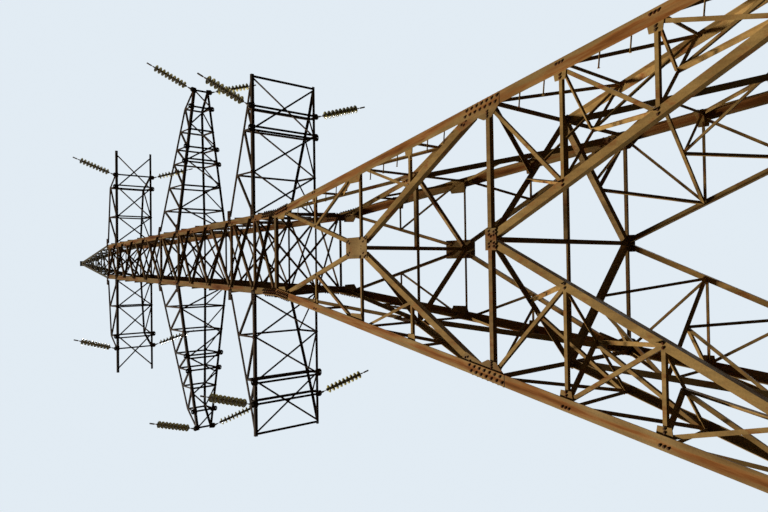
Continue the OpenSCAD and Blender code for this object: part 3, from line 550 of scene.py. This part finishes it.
for z in panels[[0, 1, 2, 5, 6, 10, 11]]:
    x = half(z) - np.array([0.065, 0.115])
    heads.append(on_faces(x, z, 0.0))
    at, normal = on_faces(x, z, cage_leg_t + cage_bar_t)
    nuts.append((at, -normal))
bolts("cage_bolts", heads, 0.032, bolt_steel)
bolts("cage_nuts", nuts, 0.032, bolt_steel, True)

# ---- Peak -----------------------------------------------------------------------------------
# A light pyramid of small steel angles on top of the cage, with an eye at its tip. Its coat is
# a dull dark brown with the least rust in it.
peak_steel = weathered_steel(
    "peak_steel", pale=(0.125, 0.094, 0.046), dark=(0.070, 0.055, 0.028),
    rust=(0.085, 0.036, 0.015), rust_from=0.56, streak=(1.0, 1.0, 0.5))
finish(nodes["peak"], peak_steel)

# ---- Crossarms ------------------------------------------------------------------------------
# Six arms in three tiers. Each is two side trusses tied together above and below, with root
# plates on the cage's legs and level hanger plates under the lower chords.
# Painted shade: the arms' coat is near-black brown, standing in for the shade on their undersides.
arm_steel_painted_shade = weathered_steel(
    "arm_steel_painted_shade", pale=(0.10, 0.062, 0.032), dark=(0.055, 0.035, 0.019), rust=(0.075, 0.030, 0.012),
    rust_from=0.52, streak=(0.3, 1.0, 1.0))
for tier in ("bottom", "middle", "top"):
    for side in ("right", "left"):
        finish(nodes["arm_%s_%s" % (tier, side)], arm_steel_painted_shade)

stations = ((0.456, 0.698, 0.813), (0.287, 0.4255, 0.565, 0.653, 0.758, 0.893), (0.408, 0.6745))
hangs = ((0.698, 0.822), (0.565, 0.653, 0.893, 0.992), (0.6745, 0.781))
tip_half_depth = 0.300
hole_out, hanger_low = 0.080, -0.014


def arm_frame(tier, points, normal, upright):
    """Carries points of a side truss, as distance along it, depth and height, to all four sides
    of the tier. The truss leans with the cage's leg and turns in with the arm's taper."""
    root = float(half(arm_z[tier]))
    sweep = math.atan2(root - tip_half_depth, arm_reach[1] - root) if tier == 1 else 0.0
    lean = 0.0 if upright else math.atan(cage_batter)
    tilt_in = np.array([[1, 0, 0],
                        [0, math.cos(lean), math.sin(lean)],
                        [0, -math.sin(lean), math.cos(lean)]])
    swing = np.array([[math.cos(sweep), -math.sin(sweep), 0],
                      [math.sin(sweep), math.cos(sweep), 0],
                      [0, 0, 1]])
    turn = swing @ tilt_in
    at = points @ turn.T + np.array([root, -root, arm_z[tier]])
    out = np.broadcast_to(turn @ np.asarray(normal, float), at.shape)
    flips = [np.array([a, b, 1.0]) for a in (1, -1) for b in (1, -1)]
    return np.concatenate([at * f for f in flips]), np.concatenate([out * f for f in flips])


heads, under = [], []
for tier in range(3):
    root = float(half(arm_z[tier]))
    taper = (root - tip_half_depth) / (arm_reach[1] - root)
    stretch = math.hypot(1.0, taper) if tier == 1 else 1.0
    posts = (np.array(stations[tier]) * arm_reach[tier] - root) * stretch
    post_bolts = ((-0.03, 0.02), (0.03, 0.02), (0.0, -0.02))
    grid = np.array([[x + dx, 0.0, 0.040 + dz] for x in posts for dx, dz in post_bolts])
    heads.append(arm_frame(tier, grid, (0, -1, 0), False))
    for h in (0.0, arm_h[tier]):
        grid = np.array([[x, -gusset_t, h + z]
                         for x in (-0.06, 0.05, 0.12, 0.19) for z in (0.0, 0.08)])
        heads.append(arm_frame(tier, grid, (0, -1, 0), False))
    for hang in hangs[tier]:
        x = (hang * arm_reach[tier] - root) * stretch
        grid = np.array([[x + dx, y, hanger_low] for dx in (-0.06, 0.06) for y in (0.022, 0.068)])
        under.append(arm_frame(tier, grid, (0, 0, -1), True))
bolts("arm_bolts", heads, 0.034, bolt_steel)
bolts("hanger_bolts", under, 0.034, bolt_steel)

# ---- Insulator strings ----------------------------------------------------------------------
# Nine glazed discs a string, each in a galvanised cap, from a fork on the hanger plate to the
# clamp. The glaze is an olive yellow, smoother than the metal.
string_turn, string_slope = math.radians(17.0), math.radians(9.0)
fork_start, disc_lead, disc_pitch, discs = 0.083, 0.220, 0.146, 9
cap_r = 0.0495
string_hang = (0.822, 0.992, 0.781)


def vector_math(tree, kind, first, second=None):
    """One vector operation on sockets or plain vectors."""
    node = tree.nodes.new("ShaderNodeVectorMath")
    node.operation = kind
    linked(tree, node.inputs[0], first)
    if second is not None:
        linked(tree, node.inputs[1], second)
    return node.outputs["Value" if kind in ("DOT_PRODUCT", "LENGTH") else "Vector"]


def string_finish(name, axis_at, axis):
    """Glaze on the discs and galvanised metal near the string's axis and past its ends. The far
    string mirrors the near one, so the point is first folded onto the near side."""
    material, tree, shader, place = new_material(name)
    parts = tree.nodes.new("ShaderNodeSeparateXYZ")
    tree.links.new(place, parts.inputs[0])
    folded = tree.nodes.new("ShaderNodeCombineXYZ")
    tree.links.new(parts.outputs["X"], folded.inputs["X"])
    near_side = number_math(tree, "MULTIPLY",
                            number_math(tree, "ABSOLUTE", parts.outputs["Y"]), -1.0)
    tree.links.new(near_side, folded.inputs["Y"])
    tree.links.new(parts.outputs["Z"], folded.inputs["Z"])
    away = vector_math(tree, "SUBTRACT", folded.outputs[0], axis_at)
    run_along = vector_math(tree, "DOT_PRODUCT", away, axis)
    reach_sq = number_math(tree, "POWER", vector_math(tree, "LENGTH", away), 2.0)
    along_sq = number_math(tree, "POWER", run_along, 2.0)
    radius = number_math(tree, "SQRT", number_math(tree, "SUBTRACT", reach_sq, along_sq))
    wide = number_math(tree, "GREATER_THAN", radius, cap_r)
    begun = number_math(tree, "GREATER_THAN", run_along, disc_lead)
    ended = number_math(tree, "LESS_THAN", run_along, disc_lead + discs * disc_pitch)
    glazed = number_math(tree, "MULTIPLY", wide, number_math(tree, "MULTIPLY", begun, ended))
    glaze = ramp(tree, noise(tree, place, 14.0, 5.0),
                 [(0.35, (0.25, 0.195, 0.022)), (0.70, (0.48, 0.380, 0.060))])
    zinc = ramp(tree, noise(tree, place, 24.0, 6.0),
                [(0.40, (0.30, 0.27, 0.22)), (0.62, (0.20, 0.11, 0.06))])
    tree.links.new(mixed(tree, "MIX", glazed, zinc, glaze), shader.inputs["Base Color"])
    roughness = number_math(tree, "MULTIPLY_ADD", glazed, -0.40, 0.60)
    tree.links.new(roughness, shader.inputs["Roughness"])
    shader.inputs["Specular IOR Level"].default_value = 0.25
    shader.inputs["Coat Weight"].default_value = 0.10
    shader.inputs["Coat Roughness"].default_value = 0.15
    return material


for tier, tier_name in enumerate(("bottom", "middle", "top")):
    root = float(half(arm_z[tier]))
    sweep = math.atan2(root - tip_half_depth, arm_reach[1] - root) if tier == 1 else 0.0
    out_x = (string_hang[tier] * arm_reach[tier] - root) / math.cos(sweep)
    hole = np.array([root + out_x * math.cos(sweep) + hole_out * math.sin(sweep),
                     -root + out_x * math.sin(sweep) - hole_out * math.cos(sweep),
                     arm_z[tier] + hanger_low + 0.010])
    flat = np.array([math.sin(string_turn), -math.cos(string_turn), 0.0])
    axis = flat * math.cos(string_slope) - np.array([0.0, 0.0, math.sin(string_slope)])
    for side_name, mirror_x in (("right", 1.0), ("left", -1.0)):
        axis_at = hole * np.array([mirror_x, 1.0, 1.0]) + fork_start * (flat - axis)
        finish(nodes["strings_%s_%s" % (tier_name, side_name)],
               string_finish("glaze_%s_%s" % (tier_name, side_name), tuple(axis_at), tuple(axis)))
